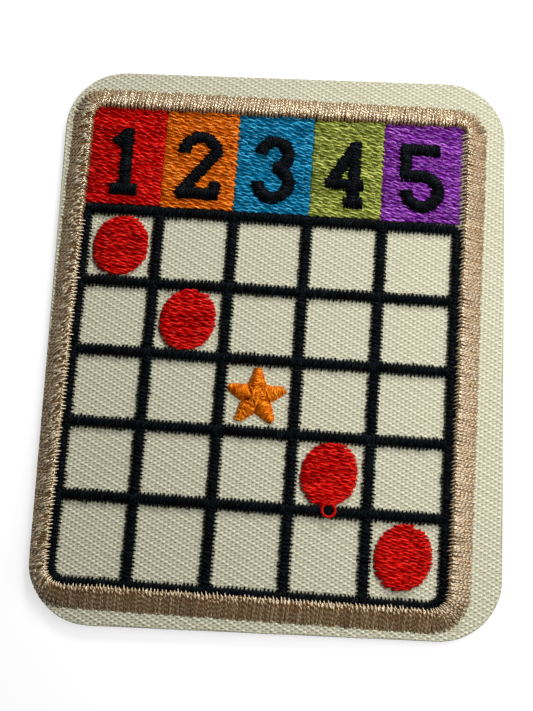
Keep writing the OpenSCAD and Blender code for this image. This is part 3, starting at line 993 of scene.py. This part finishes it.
golden = thread_finish("golden_rayon", colour=(255, 132, 4), shade=(170, 56, 0),
                       glint=(255, 196, 60), gloss=0.2, shine=0.8, painted_glint_share=0.6, index=1.6,
                       wind=1.6, relief=0.00005)
star_thread = thread_sizes(width=0.36, thickness=0.24, steps=12, sides=8, squareness=2.0,
                           tremble=0.08, twist=twist_turns, groove=0.3)
middle_count, middle_r, middle_spread = 11, 0.85, 0.25
middle_lift, middle_bow = 0.3, 0.34
middle_turns = math.pi * rng.random(middle_count)
middle_ways = middle_r * np.stack([np.cos(middle_turns), np.sin(middle_turns)], 1)
middle_spot = (star_x, star_y) + rng.normal(0, middle_spread, (middle_count, 2))
middle = straight(at_height(middle_spot - middle_ways, cloth_z + middle_lift),
                  at_height(middle_spot + middle_ways, cloth_z + middle_lift), middle_bow)
star_strands = [*(star_arm(index) for index in range(5)), middle]
stitched("star_stitches", [(strands, star_thread) for strands in star_strands], golden,
         "orange_thread", "free_space_star")

# The loose loop
# A loop of the red marker thread that was pulled up and never trimmed. It lies on the lowest
# cross line.
loop_w, loop_t, loop_open = 1.75, 0.3, 12
loop_turns = np.radians(np.linspace(90 + loop_open / 2, 450 - loop_open / 2, 30))
loop_ways = np.stack([np.cos(loop_turns), np.sin(loop_turns)], 1)
loop_path = path(grid_point((0.702, 0.7785)) + (loop_w - loop_t) / 2 * loop_ways, loop_ways)
loop_layer = (core(loop_path, cloth_z + row_rise + loop_t / 2),
              thread_sizes(loop_t, loop_t, steps=48, sides=8))
stitched("loose_loop", [loop_layer], threads["red"], "red_thread", "thread_loop")

# The bobbin thread
# White polyester from the bobbin shows down the middle of each column on the back, under the
# film.
bobbin = thread_finish("white_polyester", colour=(236, 236, 232), shade=(196, 196, 192),
                       glint=(255, 255, 255))
bobbin_lift, bobbin_share, bobbin_bow = 0.13, 0.34, 0.01
bobbin_z = film_low.z + bobbin_lift
back_inset, back_foot = 0.5, 0.4
bobbin_thread = thread_sizes(width=0.24, thickness=0.1, steps=3, sides=5, tremble=0.0)


def bobbin_column(way, width, pitch):
    """The bobbin's narrow zigzag under a satin column."""
    made = satin(way, width * bobbin_share, pitch, bobbin_z + stitch_sink, 0.0, waver=0.03)
    made["rise"] = np.full(len(made["rise"]), bobbin_bow)
    return made


def bobbin_rows(left, right, foot, top):
    """The bobbin's rows under a fill, a little inside it."""
    return fill(lambda y: left(y) + back_inset, lambda y: right(y) - back_inset, foot,
                top - back_inset, bobbin_z + fill_sink, 0.0)


bobbin_stitches = [bobbin_column(border_path, border_w, border_pitch)]
for way in (frame_path, *grid_paths):
    bobbin_stitches.append(bobbin_column(way, line_w, line_pitch))
bobbin_stitches.append(bobbin_rows(lambda y: header_left, lambda y: block_x[-1],
                                   header_foot + back_foot, header_top))
for share in marker_shares:
    x, y = grid_point(share)
    bobbin_stitches.append(bobbin_rows(oval(x, y, -1), oval(x, y, 1),
                                       y - marker_l / 2 + back_inset, y + marker_l / 2))
bobbin_layers = [(stitches, bobbin_thread) for stitches in bobbin_stitches]
stitched("bobbin_stitches", bobbin_layers, bobbin, "bobbin", "bobbin_thread")

# The camera
# It looks down on the patch from about 14 cm, from a little towards its foot, and is turned a
# little about its own axis.
eye = Vector((3.0, -33.4, 141.94)) * mm
aim = Vector((-0.873, -1.627, 1.45)) * mm
roll = math.radians(-4.474)
picture_long_side, focal_pixels = 711, 1300
sensor_w, nearest = 36.0, 0.001
camera = placed("camera", bpy.data.cameras.new("camera"))
camera.data.sensor_width = sensor_w
camera.data.lens = focal_pixels / picture_long_side * sensor_w
camera.data.clip_start = nearest
camera.location = eye
turn = (aim - eye).to_track_quat("-Z", "Y").to_matrix() @ Matrix.Rotation(roll, 3, "Z")
camera.rotation_mode = "QUATERNION"
camera.rotation_quaternion = turn.to_quaternion()
bpy.context.scene.camera = camera

# The table and the lights
# The patch lies on a plain white table with low white walls far round it, under two soft lamps:
# one behind its head and a wider one on its right.
floor_mesh = bpy.data.meshes.new("floor")
floor_half, wall_h, floor_z = 1.5, 0.42, -0.00005
paint_share, glow, sky_light = 0.42, 0.7, 0.05
corners = [(sx * floor_half, sy * floor_half) for sx, sy in ((-1, -1), (1, -1), (1, 1), (-1, 1))]
floor_mesh.from_pydata([(x, y, z) for z in (floor_z, wall_h) for x, y in corners], [],
                       [(0, 1, 2, 3), (1, 0, 4, 5), (2, 1, 5, 6), (3, 2, 6, 7), (0, 3, 7, 4)])
floor = placed("floor", floor_mesh)
table = bpy.data.materials.new("white_table")
table.use_nodes = True
white = Graph(table.node_tree)
table.node_tree.nodes.clear()
looked, mirrored, through = (white.node("ShaderNodeLightPath", (), (), f"Is {ray} Ray")
                             for ray in ("Camera", "Glossy", "Transmission"))
seen = (looked + mirrored + through).math("MINIMUM", 1.0)
paint = white.node("ShaderNodeBsdfDiffuse", (), {"Color": (paint_share,) * 3})
shine = white.node("ShaderNodeEmission", (), {"Color": (1, 1, 1), "Strength": seen * glow})
both = white.node("ShaderNodeAddShader", (), {0: paint, 1: shine})
output = table.node_tree.nodes.new("ShaderNodeOutputMaterial")
white.feed(output, {"Surface": both})
floor_mesh.materials.append(table)

world = bpy.data.worlds.new("studio")
bpy.context.scene.world = world
world.use_nodes = True
sky = world.node_tree.nodes["Background"]
sky.inputs["Color"].default_value = (1, 1, 1, 1)
sky.inputs["Strength"].default_value = sky_light


def lamp(name, place, size, power):
    light = bpy.data.lights.new(name, "AREA")
    light.size = size
    light.energy = power
    made = placed(name, light)
    made.location = place
    made.rotation_mode = "QUATERNION"
    made.rotation_quaternion = (Vector((0, 0, 0)) - made.location).to_track_quat("-Z", "Y")


lamp("key", place=Vector((0.03, 0.16, 0.11)), size=0.05, power=0.3)
lamp("side", place=Vector((0.065, 0.0, 0.075)), size=0.09, power=0.102)

bpy.context.scene.view_settings.view_transform = "Standard"
